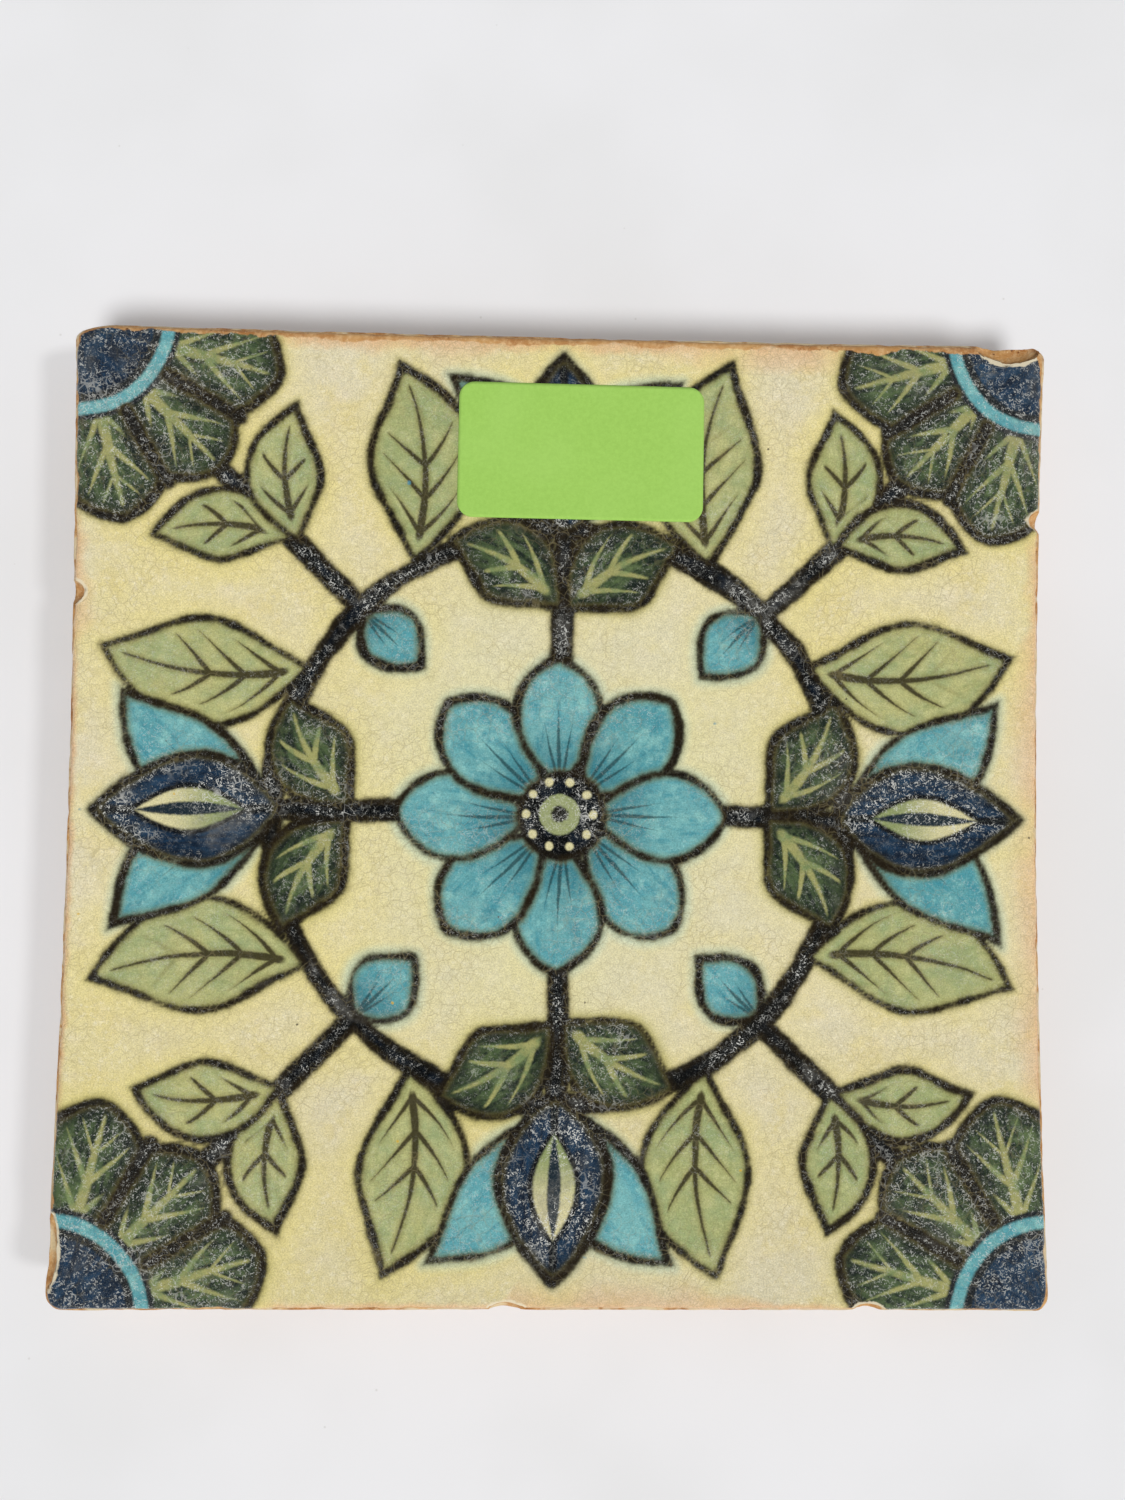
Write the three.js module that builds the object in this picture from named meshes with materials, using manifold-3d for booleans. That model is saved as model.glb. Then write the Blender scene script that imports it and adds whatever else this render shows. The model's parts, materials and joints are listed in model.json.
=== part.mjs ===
// Square painted wall tile, six inches a side, lying on its back with the face up.
// From the back: a hand-pressed clay body, a coat of white slip, painted colours laid on the slip inside dark
// outlines, a clear glaze run over the paint, and a paper stock label stuck to the glaze.
// Millimetres, +Z up, origin at the middle of the back face, +Y towards the tile's top edge.
import * as THREE from "three";
import { mergeVertices } from "three/addons/utils/BufferGeometryUtils.js";
import Module from "manifold-3d";

const wasm = await Module();
wasm.setup();

// Slab
const WIDTH = 152.4;
const HEIGHT = 150.4;
const BOW = { left: 1.2, right: 1.6, top: 0.4, bottom: 0.2 }; // how far each side draws in at its middle
const BODY_THICKNESS = 12.6;
const SLIP_THICKNESS = 0.6;
const PAINT_THICKNESS = 0.3;
const GLAZE_THICKNESS = 0.5;
const ARRIS = 0.5; // worn rounding of the body's long edges
const SIDE_STEPS = 6;

// Bare clay between the body's side and the slip, along each side
const BARE_CLAY = { left: 0.6, right: 0.6, top: 1.1, bottom: 0.6 };
const GLAZE_SHORT_OF_SLIP = 0.2;

// How much of each corner has worn away, along X and along Y
const CORNER_WEAR = {
  topLeft: [7.5, 2.4],
  topRight: [3.6, 2.2],
  bottomRight: [2.2, 3.0],
  bottomLeft: [2.8, 2.8],
};
const CORNER_STEPS = 4;

// Chips out of the face's edges: place along the side, length along it, reach into the face and depth
const CHIPS = [
  { side: "left", along: -66, length: 13, reach: 2.3, depth: 1.8 },
  { side: "left", along: 33, length: 4.5, reach: 3.2, depth: 2.2 },
  { side: "right", along: 47, length: 3.6, reach: 3.4, depth: 2.6 },
  { side: "top", along: 70, length: 11, reach: 3.4, depth: 2.4 },
  { side: "bottom", along: -7, length: 6, reach: 1.9, depth: 2.2 },
  { side: "bottom", along: 48, length: 5, reach: 1.8, depth: 2.4 },
];
const CHIP_SIDES = 8;
const CHIP_RINGS = 5;

// Grooves pressed into the back to key the mortar
const KEY_COUNT = 8;
const KEY_WIDTH = 7;
const KEY_DEPTH = 0.9;
const KEY_PITCH = 16;
const KEY_SHORT_OF_EDGE = 11;

// Paint
const LINE = 1.6; // width of a dark outline
const FIRING_GAP = 0.3; // between a colour and its outline, and between an outline and the glaze
const STEM_WIDTH = 3.6;

const ROSETTE = { petals: 8, eyeRadius: 7, petalRoot: 3.8, petalLength: 21.5, petalWidth: 14.6 };
const RING_RADIUS = 44;
const TULIP = { length: 29.5, heartWidth: 18, petalLength: 32, petalWidth: 14.5, spread: 36, bend: -0.17 };
const PALMETTE = { lobes: 3, lobeRoot: 7.5, lobeLength: 26, lobeWidth: 20, throatRadius: 17.5 };
const DIVIDER = { start: 0.34, end: 0.84, width: 2.2 }; // between lobes, start and end as shares of a lobe
const INNER_LEAF = { length: 22, width: 14.5, bend: -0.2, angle: 59, rootShare: 0.3 };
const BUD = { length: 14, width: 11 };
const OUTER_LEAF = { length: 33, width: 18, bend: -0.17, root: 31, angle: 5 };
const SMALL_LEAF = { length: 22.5, width: 12.5, bend: 0.2, angle: 44, rootShare: 0.5 };
const ROUND_PETAL = { fullness: 0.62, belly: 1.25 };

// Stock label
const LABEL = { width: 38.1, height: 21.2, cornerRadius: 2.4, x: 2.6, y: 56.2, turn: -0.2 };
const LABEL_PAPER = 0.12;
const LABEL_GLUE = 0.05;
const GLUE_SHORT_OF_PAPER = 0.4;

// Levels and places that follow
const SLIP_TOP = BODY_THICKNESS + SLIP_THICKNESS;
const PAINT_TOP = SLIP_TOP + PAINT_THICKNESS;
const FACE = PAINT_TOP + GLAZE_THICKNESS;
const GLUE_TOP = FACE + LABEL_GLUE;
const CUT_PAST = 1; // how far a cutting solid runs past what it cuts
const PATTERN_HALF = Math.min(WIDTH, HEIGHT) / 2;
const CORNER_REACH = PATTERN_HALF * Math.SQRT2;
const PALMETTE_RADIUS = PALMETTE.lobeRoot + PALMETTE.lobeLength;
const ROSETTE_RADIUS = ROSETTE.petalRoot + ROSETTE.petalLength;

const MATERIALS = {
  clay: { color: "#c58f62", roughness: 0.95 },
  slip: { color: "#e2d9ae", roughness: 0.8 },
  ink: { color: "#262a30", roughness: 0.4 },
  turquoise: { color: "#5fb0b4", roughness: 0.35 },
  cobalt: { color: "#24405f", roughness: 0.35 },
  sage: { color: "#9aab76", roughness: 0.35 },
  leafGreen: { color: "#44583f", roughness: 0.35 },
  glaze: { color: "#f4f6ea", roughness: 0.15, transparent: true, opacity: 0.2 },
  paper: { color: "#9bd35a", roughness: 0.9 },
  glue: { color: "#e9e4c8", roughness: 0.6 },
};

const SIDES = ["east", "north", "west", "south"];
const CORNERS = ["northeast", "northwest", "southwest", "southeast"];
const QUARTER_TURN = Math.PI / 2;
const radians = THREE.MathUtils.degToRad;
const vector = (x, y) => new THREE.Vector2(x, y);
const polar = (radius, degrees) =>
  vector(radius * Math.cos(radians(degrees)), radius * Math.sin(radians(degrees)));
const headed = (base, length, degrees) => base.clone().add(polar(length, degrees));

// Geometry in, manifold solid out, and back again

function solidOf(geometry) {
  geometry.deleteAttribute("normal");
  geometry.deleteAttribute("uv");
  const merged = mergeVertices(geometry, 1e-4);
  return new wasm.Manifold(
    new wasm.Mesh({
      numProp: 3,
      vertProperties: merged.attributes.position.array,
      triVerts: Uint32Array.from(merged.index.array),
    }),
  );
}

function geometryOf(solid) {
  const mesh = solid.getMesh();
  const geometry = new THREE.BufferGeometry();
  geometry.setAttribute("position", new THREE.BufferAttribute(mesh.vertProperties, mesh.numProp));
  geometry.setIndex(new THREE.BufferAttribute(mesh.triVerts, 1));
  return geometry;
}

function prism(outline, bottom, top) {
  const shape = new THREE.Shape(outline);
  const geometry = new THREE.ExtrudeGeometry(shape, { depth: top - bottom, bevelEnabled: false });
  return solidOf(geometry.translate(0, 0, bottom));
}

const tallPrism = (outline) => prism(outline, SLIP_TOP - CUT_PAST, FACE + CUT_PAST);
const union = (solids) => wasm.Manifold.union(solids);

function turned(outline, angle) {
  const origin = vector(0, 0);
  return outline.map((point) => point.clone().rotateAround(origin, angle));
}

const mirrored = (outline) => outline.map((point) => vector(point.x, -point.y));

// Points round a quarter of an oval, for the corner that faces the given quarter
function cornerArc(centre, radiusX, radiusY, quarter) {
  return Array.from({ length: CORNER_STEPS + 1 }, (_, step) => {
    const angle = (quarter + step / CORNER_STEPS) * QUARTER_TURN;
    return vector(centre.x + radiusX * Math.cos(angle), centre.y + radiusY * Math.sin(angle));
  });
}

// Outlines of the slab's layers

// The hand-cut sides bow inwards, furthest at their middles.
function bowed({ x, y }) {
  const towardsRight = (x / WIDTH + 0.5) * (BOW.left + BOW.right);
  const towardsTop = (y / HEIGHT + 0.5) * (BOW.bottom + BOW.top);
  return vector(
    x + (BOW.left - towardsRight) * (1 - ((2 * y) / HEIGHT) ** 2),
    y + (BOW.bottom - towardsTop) * (1 - ((2 * x) / WIDTH) ** 2),
  );
}

// The slab's plan drawn in by its own margin on each side, with its worn corners
function slabOutline(margin) {
  const left = -WIDTH / 2 + margin.left;
  const right = WIDTH / 2 - margin.right;
  const bottom = -HEIGHT / 2 + margin.bottom;
  const top = HEIGHT / 2 - margin.top;
  const { topLeft, topRight, bottomLeft, bottomRight } = CORNER_WEAR;
  const corners = [
    cornerArc(vector(right - topRight[0], top - topRight[1]), ...topRight, 0),
    cornerArc(vector(left + topLeft[0], top - topLeft[1]), ...topLeft, 1),
    cornerArc(vector(left + bottomLeft[0], bottom + bottomLeft[1]), ...bottomLeft, 2),
    cornerArc(vector(right - bottomRight[0], bottom + bottomRight[1]), ...bottomRight, 3),
  ];
  const outline = corners.flatMap((corner, i) => {
    const next = corners[(i + 1) % corners.length][0];
    const side = Array.from({ length: SIDE_STEPS - 1 }, (_, step) =>
      corner.at(-1).clone().lerp(next, (step + 1) / SIDE_STEPS),
    );
    return [...corner, ...side];
  });
  return outline.map(bowed);
}

const evenMargin = (margin) => ({ left: margin, right: margin, top: margin, bottom: margin });

const drawnIn = (margin, by) =>
  Object.fromEntries(Object.entries(margin).map(([side, width]) => [side, width + by]));

// Outlines of the brushwork, each drawn in from the shape's own edge by an inset

// A leaf or petal about a curved spine, ending in points where its half width falls to the inset
function bladeOutline({ base, tip, width, bend = 0, fullness = 1, belly = 1, steps = 6 }, inset) {
  const along = tip.clone().sub(base);
  const middle = base.clone().lerp(tip, 0.5).addScaledVector(vector(-along.y, along.x), bend);
  const spine = new THREE.QuadraticBezierCurve(base, middle, tip);
  const halfWidth = (t) => (width / 2) * Math.sin(Math.PI * t ** belly) ** fullness - inset;
  const widest = 0.5 ** (1 / belly);
  const endFrom = (outside) => {
    let end = widest;
    for (let i = 0; i < 40; i += 1) {
      const t = (outside + end) / 2;
      if (halfWidth(t) > 0) end = t;
      else outside = t;
    }
    return end;
  };
  const [start, end] = inset > 0 ? [endFrom(0), endFrom(1)] : [0, 1];
  const sideAt = (t, sign) => {
    const tangent = spine.getTangent(t);
    return spine.getPoint(t).addScaledVector(vector(-tangent.y, tangent.x), sign * halfWidth(t));
  };
  const shares = Array.from({ length: steps - 1 }, (_, i) => {
    const share = (1 - Math.cos((Math.PI * (i + 1)) / steps)) / 2;
    return start + (end - start) * share;
  });
  return [
    spine.getPoint(start),
    ...shares.map((t) => sideAt(t, -1)),
    spine.getPoint(end),
    ...shares.toReversed().map((t) => sideAt(t, 1)),
  ];
}

function discOutline({ centre, radius, sides }, inset) {
  return Array.from({ length: sides }, (_, i) => {
    const angle = (2 * Math.PI * i) / sides;
    return vector(
      centre.x + (radius - inset) * Math.cos(angle),
      centre.y + (radius - inset) * Math.sin(angle),
    );
  });
}

function strokeOutline({ from, to, width }, inset) {
  const along = to.clone().sub(from).normalize();
  const side = vector(-along.y, along.x).multiplyScalar(width / 2 - inset);
  return [from.clone().sub(side), to.clone().sub(side), to.clone().add(side), from.clone().add(side)];
}

// Motifs. Each gives its solid drawn in by an inset. One with a material is a colour inside a dark outline, and
// one without is dark all over.

const blade = (shape, turn) => (inset) => tallPrism(turned(bladeOutline(shape, inset), turn));
const mirroredBlade = (shape, turn) => (inset) =>
  tallPrism(turned(mirrored(bladeOutline(shape, inset)), turn));
const disc = (shape, turn) => (inset) => tallPrism(turned(discOutline(shape, inset), turn));
const stroke = (shape, turn) => (inset) => tallPrism(turned(strokeOutline(shape, inset), turn));

function rosette() {
  const { petals, eyeRadius, petalRoot, petalWidth } = ROSETTE;
  const petal = {
    base: vector(petalRoot, 0),
    tip: vector(ROSETTE_RADIUS, 0),
    width: petalWidth,
    ...ROUND_PETAL,
    steps: 7,
  };
  return [
    { solid: disc({ centre: vector(0, 0), radius: eyeRadius, sides: 16 }, 0) },
    ...Array.from({ length: petals }, (_, i) => ({
      name: `rosette_petal_${i + 1}`,
      material: "turquoise",
      solid: blade(petal, (2 * Math.PI * i) / petals),
    })),
  ];
}

// A tulip that grows from the ring, its heart in front of two side petals
function tulip(side, quarter) {
  const { length, heartWidth, petalLength, petalWidth, spread, bend } = TULIP;
  const root = vector(RING_RADIUS - STEM_WIDTH / 2, 0);
  const turn = quarter * QUARTER_TURN;
  const heart = {
    base: root,
    tip: headed(root, length, 0),
    width: heartWidth,
    fullness: 0.85,
    belly: 0.85,
    steps: 8,
  };
  const petal = { base: root, tip: headed(root, petalLength, spread), width: petalWidth, bend };
  return [
    { name: `tulip_heart_${side}`, material: "cobalt", solid: blade(heart, turn) },
    { name: `tulip_left_petal_${side}`, material: "turquoise", solid: blade(petal, turn) },
    { name: `tulip_right_petal_${side}`, material: "turquoise", solid: mirroredBlade(petal, turn) },
  ];
}

// A quarter palmette, which the neighbouring tiles would complete
function cornerPalmette(corner, quarter) {
  const { lobes, lobeRoot, lobeLength, lobeWidth, throatRadius } = PALMETTE;
  const centre = vector(PATTERN_HALF, PATTERN_HALF);
  const turn = quarter * QUARTER_TURN;
  const pitch = 90 / lobes;
  const throat = disc({ centre, radius: throatRadius, sides: 24 }, turn);
  const lobeSolids = Array.from({ length: lobes }, (_, i) => {
    const degrees = 180 + pitch * (i + 0.5);
    const base = headed(centre, lobeRoot, degrees);
    const tip = headed(centre, PALMETTE_RADIUS, degrees);
    return blade({ base, tip, width: lobeWidth, ...ROUND_PETAL }, turn);
  });
  const dividers = Array.from({ length: lobes - 1 }, (_, i) => {
    const degrees = 180 + pitch * (i + 1);
    const from = headed(centre, lobeRoot + DIVIDER.start * lobeLength, degrees);
    const to = headed(centre, lobeRoot + DIVIDER.end * lobeLength, degrees);
    return { solid: stroke({ from, to, width: DIVIDER.width }, turn) };
  });
  const whole = (inset) => union([throat(inset), ...lobeSolids.map((lobe) => lobe(inset))]);
  return [...dividers, { name: `corner_palmette_${corner}`, material: "leafGreen", solid: whole }];
}

// Two leaves either side of a spoke, inside the ring
function innerLeaves(side, quarter) {
  const { length, width, bend, angle, rootShare } = INNER_LEAF;
  const root = vector(ROSETTE_RADIUS + (RING_RADIUS - ROSETTE_RADIUS) * rootShare, 0);
  const turn = quarter * QUARTER_TURN;
  const leaf = { base: root, tip: headed(root, length, angle), width, bend };
  return [
    { name: `inner_left_leaf_${side}`, material: "leafGreen", solid: blade(leaf, turn) },
    { name: `inner_right_leaf_${side}`, material: "leafGreen", solid: mirroredBlade(leaf, turn) },
  ];
}

// A bud that hangs inside the ring, between the spokes
function bud(corner, quarter) {
  const shape = {
    base: vector(RING_RADIUS, 0),
    tip: vector(RING_RADIUS - BUD.length, 0),
    width: BUD.width,
    fullness: 0.85,
    belly: 0.9,
  };
  return { name: `bud_${corner}`, material: "turquoise", solid: blade(shape, (quarter + 0.5) * QUARTER_TURN) };
}

// The leaves outside the ring: a large pair that leaves the ring and a small pair on the corner's stem
function outerLeaves(corner, quarter) {
  const turn = (quarter + 0.5) * QUARTER_TURN;
  const root = polar(RING_RADIUS, OUTER_LEAF.root - 45);
  const large = {
    base: root,
    tip: headed(root, OUTER_LEAF.length, OUTER_LEAF.angle - 45),
    width: OUTER_LEAF.width,
    bend: OUTER_LEAF.bend,
    steps: 8,
  };
  const openStem = CORNER_REACH - PALMETTE_RADIUS - RING_RADIUS;
  const node = vector(RING_RADIUS + openStem * SMALL_LEAF.rootShare, 0);
  const small = {
    base: node,
    tip: headed(node, SMALL_LEAF.length, -SMALL_LEAF.angle),
    width: SMALL_LEAF.width,
    bend: SMALL_LEAF.bend,
  };
  return [
    { name: `outer_right_leaf_${corner}`, material: "sage", solid: blade(large, turn) },
    { name: `outer_left_leaf_${corner}`, material: "sage", solid: mirroredBlade(large, turn) },
    { name: `small_right_leaf_${corner}`, material: "sage", solid: blade(small, turn) },
    { name: `small_left_leaf_${corner}`, material: "sage", solid: mirroredBlade(small, turn) },
  ];
}

function stems() {
  const spoke = { from: vector(ROSETTE.eyeRadius, 0), to: vector(RING_RADIUS, 0), width: STEM_WIDTH };
  const diagonal = {
    from: vector(RING_RADIUS, 0),
    to: vector(CORNER_REACH - PALMETTE.lobeRoot, 0),
    width: STEM_WIDTH,
  };
  const edge = (radius) => disc({ centre: vector(0, 0), radius, sides: 48 }, 0);
  const outside = edge(RING_RADIUS + STEM_WIDTH / 2);
  const inside = edge(RING_RADIUS - STEM_WIDTH / 2);
  return [
    { solid: (inset) => outside(inset).subtract(inside(-inset)) },
    ...SIDES.map((_, quarter) => ({ solid: stroke(spoke, quarter * QUARTER_TURN) })),
    ...CORNERS.map((_, quarter) => ({ solid: stroke(diagonal, (quarter + 0.5) * QUARTER_TURN) })),
  ];
}

// Pieces, each a closed solid

// A scallop struck from the face's edge, as a stretched ball centred on it
function chip({ side, along, length, reach, depth }) {
  const ball = new THREE.SphereGeometry(1, CHIP_SIDES, CHIP_RINGS);
  if (side === "left" || side === "right") {
    ball.scale(reach, length / 2, depth);
    ball.translate(side === "left" ? -WIDTH / 2 : WIDTH / 2, along, FACE);
  } else {
    ball.scale(length / 2, reach, depth);
    ball.translate(along, side === "bottom" ? -HEIGHT / 2 : HEIGHT / 2, FACE);
  }
  return solidOf(ball);
}

const chips = union(CHIPS.map(chip));
const glazeMargin = drawnIn(BARE_CLAY, GLAZE_SHORT_OF_SLIP);
const paintMargin = drawnIn(glazeMargin, 2 * FIRING_GAP);

function body() {
  const slab = new THREE.ExtrudeGeometry(new THREE.Shape(slabOutline(evenMargin(0))), {
    depth: BODY_THICKNESS - 2 * ARRIS,
    bevelThickness: ARRIS,
    bevelSize: ARRIS,
    bevelOffset: -ARRIS,
    bevelSegments: 2,
  });
  const grooves = Array.from({ length: KEY_COUNT }, (_, i) => {
    const groove = new THREE.BoxGeometry(KEY_WIDTH, HEIGHT - 2 * KEY_SHORT_OF_EDGE, 2 * KEY_DEPTH);
    return solidOf(groove.translate((i - (KEY_COUNT - 1) / 2) * KEY_PITCH, 0, 0));
  });
  return solidOf(slab.translate(0, 0, ARRIS)).subtract(union([...grooves, chips]));
}

const slip = () => prism(slabOutline(BARE_CLAY), BODY_THICKNESS, SLIP_TOP).subtract(chips);

// The colours and the dark lines between them. The motifs run from the front to the back, and each hides what
// lies behind it.
function paintLayer(motifs) {
  const area = prism(slabOutline(paintMargin), SLIP_TOP, PAINT_TOP).subtract(chips);
  const colours = [];
  let inked = null;
  let pockets = null;
  let covered = null;
  const without = (solid, cut) => (cut ? solid.subtract(cut) : solid);
  const joined = (solid, more) => (solid ? solid.add(more) : more);
  for (const { name, material, solid } of motifs) {
    if (material) {
      colours.push({ name, material, solid: without(area.intersect(solid(LINE + FIRING_GAP)), covered) });
      pockets = joined(pockets, without(solid(LINE), inked));
    }
    inked = joined(inked, solid(FIRING_GAP));
    covered = joined(covered, solid(0));
  }
  return { colours, lines: area.intersect(inked).subtract(pockets), footprint: covered };
}

// The glaze lies on the slip, and is hollowed underneath where it runs over the paint.
function glaze(footprint) {
  const sheet = prism(slabOutline(glazeMargin), SLIP_TOP, FACE).subtract(chips);
  const painted = prism(slabOutline(drawnIn(glazeMargin, FIRING_GAP)), SLIP_TOP - CUT_PAST, PAINT_TOP);
  return sheet.subtract(painted.intersect(footprint));
}

function label(bottom, top, inset) {
  const { width, height, cornerRadius, x, y, turn } = LABEL;
  const radius = cornerRadius - inset;
  const halfWidth = width / 2 - cornerRadius;
  const halfHeight = height / 2 - cornerRadius;
  const centres = [
    vector(halfWidth, halfHeight),
    vector(-halfWidth, halfHeight),
    vector(-halfWidth, -halfHeight),
    vector(halfWidth, -halfHeight),
  ];
  const outline = centres.flatMap((centre, quarter) => cornerArc(centre, radius, radius, quarter));
  return prism(
    turned(outline, radians(turn)).map((point) => point.add(vector(x, y))),
    bottom,
    top,
  );
}

// Assembly

const tile = new THREE.Group();

function add(name, material, solid) {
  const { transparent = false, ...finish } = MATERIALS[material];
  const mesh = new THREE.Mesh(
    geometryOf(solid),
    new THREE.MeshStandardMaterial({ ...finish, transparent, metalness: 0, flatShading: true }),
  );
  mesh.name = name;
  tile.add(mesh);
}

const paint = paintLayer([
  ...rosette(),
  ...SIDES.flatMap(tulip),
  ...CORNERS.flatMap(cornerPalmette),
  ...CORNERS.flatMap(outerLeaves),
  ...SIDES.flatMap(innerLeaves),
  ...CORNERS.map(bud),
  ...stems(),
]);

add("clay_body", "clay", body());
add("slip_coat", "slip", slip());
add("painted_outlines", "ink", paint.lines);
for (const { name, material, solid } of paint.colours) add(name, material, solid);
add("clear_glaze", "glaze", glaze(paint.footprint));
add("label_glue", "glue", label(FACE, GLUE_TOP, GLUE_SHORT_OF_PAPER));
add("label_paper", "paper", label(GLUE_TOP, GLUE_TOP + LABEL_PAPER, 0));

export default tile;
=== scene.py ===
"""A hand-painted wall tile, six inches a side, lying face up on a pale table and seen from just above.

Plan sizes are in millimetres, as on the part's own drawing, and become metres where a mesh is made.
"""

import json

import bpy
import numpy as np
from mathutils import Euler, Matrix, Vector


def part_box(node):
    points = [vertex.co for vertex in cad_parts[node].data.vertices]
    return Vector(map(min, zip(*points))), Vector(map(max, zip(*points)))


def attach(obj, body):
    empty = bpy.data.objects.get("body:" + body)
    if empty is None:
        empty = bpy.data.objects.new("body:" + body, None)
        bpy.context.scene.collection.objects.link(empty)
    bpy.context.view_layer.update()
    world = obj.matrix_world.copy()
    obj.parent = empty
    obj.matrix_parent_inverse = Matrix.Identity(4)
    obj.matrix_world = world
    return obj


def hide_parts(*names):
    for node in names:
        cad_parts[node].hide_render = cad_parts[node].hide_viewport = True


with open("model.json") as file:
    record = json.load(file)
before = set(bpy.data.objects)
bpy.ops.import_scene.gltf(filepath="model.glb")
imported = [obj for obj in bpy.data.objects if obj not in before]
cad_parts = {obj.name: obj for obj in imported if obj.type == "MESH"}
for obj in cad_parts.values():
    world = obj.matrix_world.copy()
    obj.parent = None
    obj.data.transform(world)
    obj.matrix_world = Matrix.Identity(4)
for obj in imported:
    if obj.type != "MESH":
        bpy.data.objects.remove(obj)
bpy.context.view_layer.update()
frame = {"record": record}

MM = 0.001

# Stands for a distance where nothing is near
FAR = 30.0

# Slab, as in the part
WIDTH = 152.4
HEIGHT = 150.4
BOW = {"left": 1.2, "right": 1.6, "top": 0.4, "bottom": 0.2}
CORNER_WEAR = {(-1, 1): (7.5, 2.4), (1, 1): (3.6, 2.2), (1, -1): (2.2, 3.0), (-1, -1): (2.8, 2.8)}
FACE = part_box("clear_glaze")[1].z / MM

# Side, place along it, length, reach inwards and depth
CHIPS = (
    ("left", -66, 13, 2.3, 1.8),
    ("left", 33, 4.5, 3.2, 2.2),
    ("right", 47, 3.6, 3.4, 2.6),
    ("top", 70, 11, 3.4, 2.4),
    ("bottom", -7, 6, 1.9, 2.2),
    ("bottom", 48, 5, 1.8, 2.4),
)

# Grooves across the back
KEY_COUNT = 8
KEY_WIDTH = 7
KEY_DEPTH = 0.9
KEY_PITCH = 16
KEY_SHORT_OF_EDGE = 11

# Painted pattern, as in the part
LINE = 1.6
STEM_WIDTH = 3.6
ROSETTE = {"petals": 8, "eye": 7.0, "root": 3.8, "length": 21.5, "width": 14.6}
RING_RADIUS = 44.0
TULIP = {"length": 29.5, "heart": 18, "petal": 32, "width": 14.5, "spread": 36, "bend": -0.17}
PALMETTE = {"lobes": 3, "root": 7.5, "length": 26, "width": 20, "throat": 17.5}
DIVIDER = {"start": 0.34, "end": 0.84, "width": 2.2}
INNER_LEAF = {"length": 22, "width": 14.5, "bend": -0.2, "angle": 59, "share": 0.3}
BUD = {"length": 14, "width": 11}
OUTER_LEAF = {"length": 33, "width": 18, "bend": -0.17, "root": 31, "angle": 5}
SMALL_LEAF = {"length": 22.5, "width": 12.5, "bend": 0.2, "angle": 44, "share": 0.5}
ROUND_PETAL = {"fullness": 0.62, "belly": 1.25}
PATTERN_HALF = min(WIDTH, HEIGHT) / 2

# How far a hand strays in a shape's size, place and lean in degrees, and in its share of the line
HAND = {"size": 0.016, "shift": 0.28, "lean": 1.1, "line": (0.64, 0.9)}

# The brush is somewhere else in its noise for each shape, up to this far
DABS = 40

# Camera, solved on the four edges of the tile in the photograph
PHOTO_HEIGHT = 1500
FOCAL_PIXELS = 1083
CAMERA_TURN = (-2.35, 1.55, -0.84)
CAMERA_OFFSET = (-0.45, -9.85, -165.67)

rng = np.random.default_rng(7)


# Noise and easing on arrays

def value_noise(x, y, size, seed):
    """Smooth random values from -1 to 1, with features about size across."""
    lattice = np.random.default_rng(seed).uniform(-1, 1, (64, 64))
    gx, gy = np.asarray(x) / size + 31.4, np.asarray(y) / size + 17.8
    ix, iy = np.floor(gx).astype(int), np.floor(gy).astype(int)
    fx, fy = gx - ix, gy - iy
    fx, fy = fx * fx * (3 - 2 * fx), fy * fy * (3 - 2 * fy)

    def at(dx, dy):
        return lattice[(ix + dx) % 64, (iy + dy) % 64]

    low = at(0, 0) * (1 - fx) + at(1, 0) * fx
    high = at(0, 1) * (1 - fx) + at(1, 1) * fx
    return low * (1 - fy) + high * fy


def rough_noise(x, y, size, seed, octaves=3):
    total = sum(value_noise(x, y, size / 2**i, seed + i) / 2**i for i in range(octaves))
    return total / 1.5


def smoothstep(low, high, value):
    t = np.clip((value - low) / (high - low), 0, 1)
    return t * t * (3 - 2 * t)


def lengths(vectors):
    return np.linalg.norm(vectors, axis=1)


# Plan of the slab

def bowed(x, y):
    """The hand-cut sides bow inwards, furthest at their middles."""
    towards_right = (x / WIDTH + 0.5) * (BOW["left"] + BOW["right"])
    towards_top = (y / HEIGHT + 0.5) * (BOW["bottom"] + BOW["top"])
    return (
        x + (BOW["left"] - towards_right) * (1 - (2 * y / HEIGHT) ** 2),
        y + (BOW["bottom"] - towards_top) * (1 - (2 * x / WIDTH) ** 2),
    )


def rounded(u, v, half_x, half_y, corners):
    """Maps a square from -1 to 1 onto a rectangle with rubbed corners.

    Returns x, y and the distance in from the drawn edge.
    """
    x, y = half_x * u, half_y * v
    inwards = np.minimum(half_x - np.abs(x), half_y - np.abs(y))
    for (sign_x, sign_y), (wear_x, wear_y) in corners.items():
        centre_x, centre_y = sign_x * (half_x - wear_x), sign_y * (half_y - wear_y)
        a, b = sign_x * (x - centre_x) / wear_x, sign_y * (y - centre_y) / wear_y
        inside = (a > 0) & (b > 0)
        a, b = np.clip(a, 0, 1), np.clip(b, 0, 1)
        reach = np.sqrt(a**2 + b**2 - a**2 * b**2)
        wear = (a**2 * wear_x + b**2 * wear_y) / np.maximum(a**2 + b**2, 1e-9)
        x = np.where(inside, centre_x + sign_x * wear_x * a * np.sqrt(1 - b**2 / 2), x)
        y = np.where(inside, centre_y + sign_y * wear_y * b * np.sqrt(1 - a**2 / 2), y)
        inwards = np.where(inside, np.minimum(wear * (1 - reach), inwards + wear), inwards)
    return x, y, inwards


def slab_plan(u, v, margin):
    """Maps a square from -1 to 1 onto the slab drawn in by a margin, as rounded does."""
    x, y, inwards = rounded(u, v, WIDTH / 2 - margin, HEIGHT / 2 - margin, CORNER_WEAR)
    return *bowed(x, y), inwards


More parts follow.
